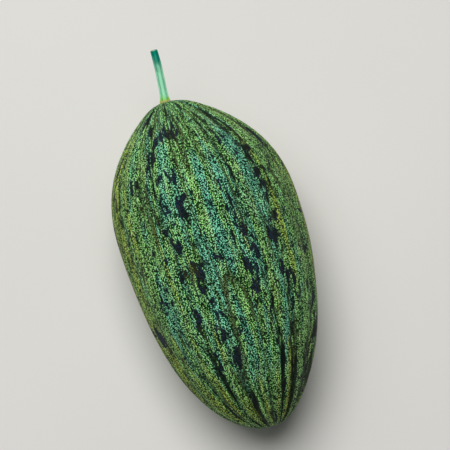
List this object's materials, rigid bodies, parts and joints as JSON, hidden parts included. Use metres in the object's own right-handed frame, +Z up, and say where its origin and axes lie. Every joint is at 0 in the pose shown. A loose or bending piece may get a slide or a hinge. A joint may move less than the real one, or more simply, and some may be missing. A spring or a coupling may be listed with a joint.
{
  "type": "piel de sapo melon",
  "caption": "Whole long green melon with furrowed ribs, picked with a length of its stalk and lying on its side on a small flat spot.",
  "frame": {"origin": "middle of the small flat spot on the underside, where the melon rests", "axes": "+Y along the melon towards its stalk, +Z up from the surface it rests on, +X across it"},
  "size_m": [0.1633, 0.3433, 0.1635],
  "materials": {
    "rind": "waxy satin rind, dark green with yellow-green speckle and darker blotches",
    "stalk": "fresh fibrous stalk, pale green at its foot and sea green at its cut end"
  },
  "bodies": {
    "root": {"fruit": "rind", "stalk": "stalk"}
  },
  "joints": []
}
